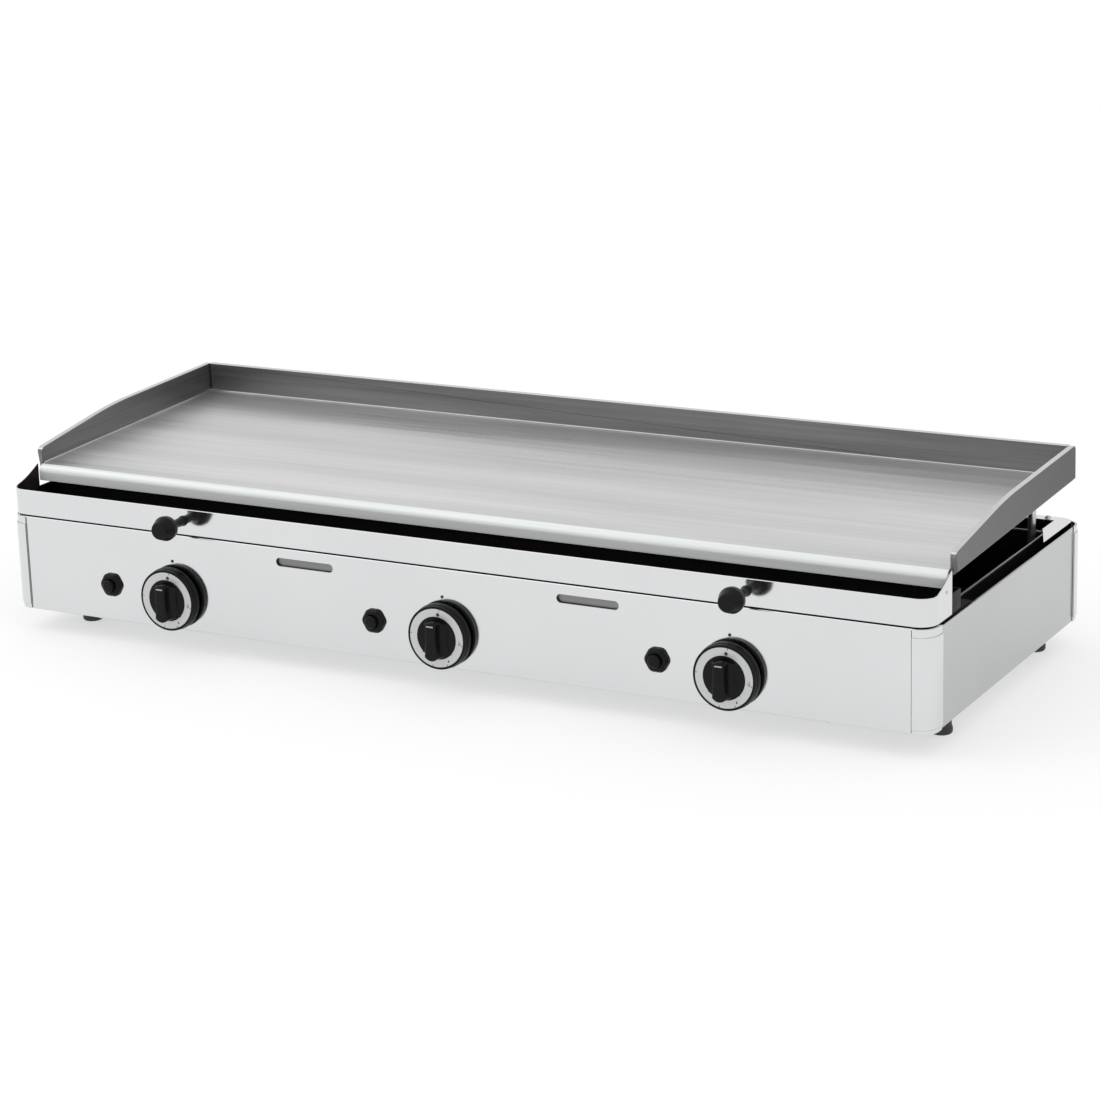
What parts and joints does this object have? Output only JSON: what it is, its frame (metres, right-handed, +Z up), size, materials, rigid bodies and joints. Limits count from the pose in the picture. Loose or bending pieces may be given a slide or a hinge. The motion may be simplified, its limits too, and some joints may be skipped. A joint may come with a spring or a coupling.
{
  "type": "flat top griddle",
  "caption": "Wide countertop gas griddle: sloping brushed plate with splash guards on three sides, polished body, full-width grease drawer, turning gas knobs and push igniters.",
  "frame": {"origin": "on the bench, at the middle of the whole object's footprint, handles and gas inlet included", "axes": "+X to the right seen from the front, -Y the front with the knobs, +Z up"},
  "size_m": [1.004, 0.454, 0.203],
  "materials": {
    "polished_steel": "mirror-polished stainless sheet",
    "brushed_plate": "ground plate, brushed left to right",
    "brushed_guard": "dark brushed plate",
    "galvanised_sheet": "galvanised, dull",
    "burnt_steel": "heat-darkened steel",
    "cast_burner": "rough cast iron",
    "brass_fitting": "turned brass",
    "black_plastic": "glossy black moulding",
    "dial_face": "satin foil with printed marks",
    "black_rubber": "matt"
  },
  "bodies": {
    "root": {"front_panel": "polished_steel", "rear_panel": "polished_steel", "side_panel_left": "polished_steel", "side_panel_right": "polished_steel", "rear_top_rim": "polished_steel", "corner_trim_front_left": "polished_steel", "corner_trim_front_right": "polished_steel", "corner_trim_rear_left": "polished_steel", "corner_trim_rear_right": "polished_steel", "base_pan": "galvanised_sheet", "gas_manifold": "galvanised_sheet", "drawer_runner_left": "galvanised_sheet", "drawer_runner_right": "galvanised_sheet", "pilot_left": "galvanised_sheet", "pilot_centre": "galvanised_sheet", "pilot_right": "galvanised_sheet", "burner_box": "burnt_steel", "plate_rail_left": "cast_burner", "plate_rail_right": "cast_burner", "burner_left": "cast_burner", "burner_centre": "cast_burner", "burner_right": "cast_burner", "gas_inlet": "brass_fitting", "gas_inlet_nut": "brass_fitting", "gas_valve_left": "brass_fitting", "gas_valve_centre": "brass_fitting", "gas_valve_right": "brass_fitting", "igniter_body_left": "black_plastic", "igniter_body_centre": "black_plastic", "igniter_body_right": "black_plastic", "foot_front_left": "black_rubber", "foot_front_right": "black_rubber", "foot_rear_left": "black_rubber", "foot_rear_right": "black_rubber"},
    "griddle": {"griddle_plate": "brushed_plate", "back_guard": "brushed_guard", "side_guard_left": "brushed_guard", "side_guard_right": "brushed_guard", "plate_leg_front_left": "brushed_guard", "plate_leg_front_right": "brushed_guard", "plate_leg_rear_left": "brushed_guard", "plate_leg_rear_right": "brushed_guard"},
    "drawer": {"drawer_front": "polished_steel", "grease_pan": "burnt_steel", "drawer_handle_left": "black_plastic", "drawer_handle_right": "black_plastic"},
    "stem_left": {"valve_spindle_left": "brass_fitting"},
    "dial_left": {"knob_left": "black_plastic", "dial_ring_left": "dial_face"},
    "button_left": {"igniter_button_left": "black_plastic"},
    "stem_centre": {"valve_spindle_centre": "brass_fitting"},
    "dial_centre": {"knob_centre": "black_plastic", "dial_ring_centre": "dial_face"},
    "button_centre": {"igniter_button_centre": "black_plastic"},
    "stem_right": {"valve_spindle_right": "brass_fitting"},
    "dial_right": {"knob_right": "black_plastic", "dial_ring_right": "dial_face"},
    "button_right": {"igniter_button_right": "black_plastic"}
  },
  "joints": [
    {"name": "plate_lift", "type": "slide", "parent": "root", "child": "griddle", "axis": [0, 0, 1], "range_m": [0, 0.1]},
    {"name": "drawer_slide", "type": "slide", "parent": "root", "child": "drawer", "axis": [0, -1, 0], "range_m": [0, 0.075]},
    {"name": "knob_push_left", "type": "slide", "parent": "root", "child": "stem_left", "axis": [0, 1, 0], "range_m": [0, 0.0025], "stiffness_N_per_m": 900},
    {"name": "knob_turn_left", "type": "hinge", "parent": "stem_left", "child": "dial_left", "pos_m": [-0.3035, -0.185, 0.0574], "axis": [0, -1, 0], "range_deg": [0, 150]},
    {"name": "igniter_press_left", "type": "slide", "parent": "root", "child": "button_left", "axis": [0, 1, 0], "range_m": [0, 0.004], "stiffness_N_per_m": 1200},
    {"name": "knob_push_centre", "type": "slide", "parent": "root", "child": "stem_centre", "axis": [0, 1, 0], "range_m": [0, 0.0025], "stiffness_N_per_m": 900},
    {"name": "knob_turn_centre", "type": "hinge", "parent": "stem_centre", "child": "dial_centre", "pos_m": [0.0055, -0.185, 0.0574], "axis": [0, -1, 0], "range_deg": [0, 150]},
    {"name": "igniter_press_centre", "type": "slide", "parent": "root", "child": "button_centre", "axis": [0, 1, 0], "range_m": [0, 0.004], "stiffness_N_per_m": 1200},
    {"name": "knob_push_right", "type": "slide", "parent": "root", "child": "stem_right", "axis": [0, 1, 0], "range_m": [0, 0.0025], "stiffness_N_per_m": 900},
    {"name": "knob_turn_right", "type": "hinge", "parent": "stem_right", "child": "dial_right", "pos_m": [0.3055, -0.185, 0.0574], "axis": [0, -1, 0], "range_deg": [0, 150]},
    {"name": "igniter_press_right", "type": "slide", "parent": "root", "child": "button_right", "axis": [0, 1, 0], "range_m": [0, 0.004], "stiffness_N_per_m": 1200}
  ]
}
